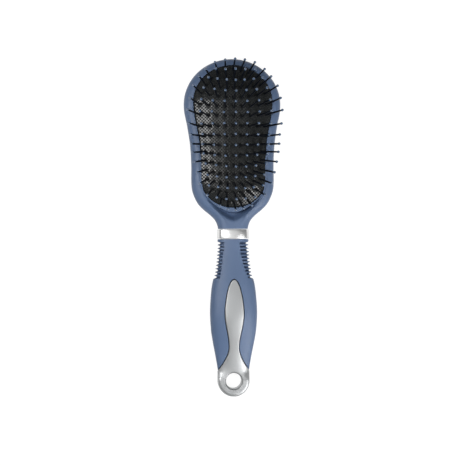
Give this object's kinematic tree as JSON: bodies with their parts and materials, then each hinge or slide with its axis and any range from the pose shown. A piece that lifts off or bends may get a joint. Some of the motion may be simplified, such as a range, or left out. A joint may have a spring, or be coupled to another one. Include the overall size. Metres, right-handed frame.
{
  "type": "cushion hair brush",
  "caption": "Paddle hair brush with a waisted oval head, domed rubber air cushion of ball-tipped pins, silver ferrule, ribbed soft grip and a hanging eye.",
  "frame": {"origin": "on the flat of the head's back, under the middle of the rubber pad, with the brush lying on its back", "axes": "+Z out of the pad along the pins, +Y along the brush from the handle towards the top of the head, +X across the brush"},
  "size_m": [0.067, 0.2334, 0.0381],
  "materials": {
    "soft_touch_blue": "slate-blue soft-touch coating with a silky sheen and a fine moulded grain",
    "pad_rubber": "black rubber with a fine diagonal cross-hatched grain and a soft gloss",
    "pin_nylon": "glossy navy-black moulded nylon",
    "satin_silver": "bright satin metal ring",
    "silvered_plastic": "moulded plastic with a satin silver metal coat",
    "core_plastic": "plain dark moulded plastic, hidden inside the grip"
  },
  "bodies": {
    "brush_body": {"head_shell": "soft_touch_blue", "air_cushion": "pad_rubber", "ferrule": "satin_silver", "handle_core": "core_plastic", "grip": "soft_touch_blue", "eye_cap": "silvered_plastic"},
    "pin_field": {"pin_row_01": "pin_nylon", "pin_row_02": "pin_nylon", "pin_row_03": "pin_nylon", "pin_row_04": "pin_nylon", "pin_row_05": "pin_nylon", "pin_row_06": "pin_nylon", "pin_row_07": "pin_nylon", "pin_row_08": "pin_nylon", "pin_row_09": "pin_nylon", "pin_row_10": "pin_nylon", "pin_row_11": "pin_nylon", "pin_row_12": "pin_nylon", "pin_row_13": "pin_nylon", "pin_row_14": "pin_nylon", "pin_row_15": "pin_nylon"}
  },
  "joints": [
    {"name": "cushion_press", "type": "slide", "parent": "brush_body", "child": "pin_field", "axis": [0, 0, 1], "range_m": [-0.003, 0], "stiffness_N_per_m": 2500, "deforming": ["air_cushion"]}
  ]
}
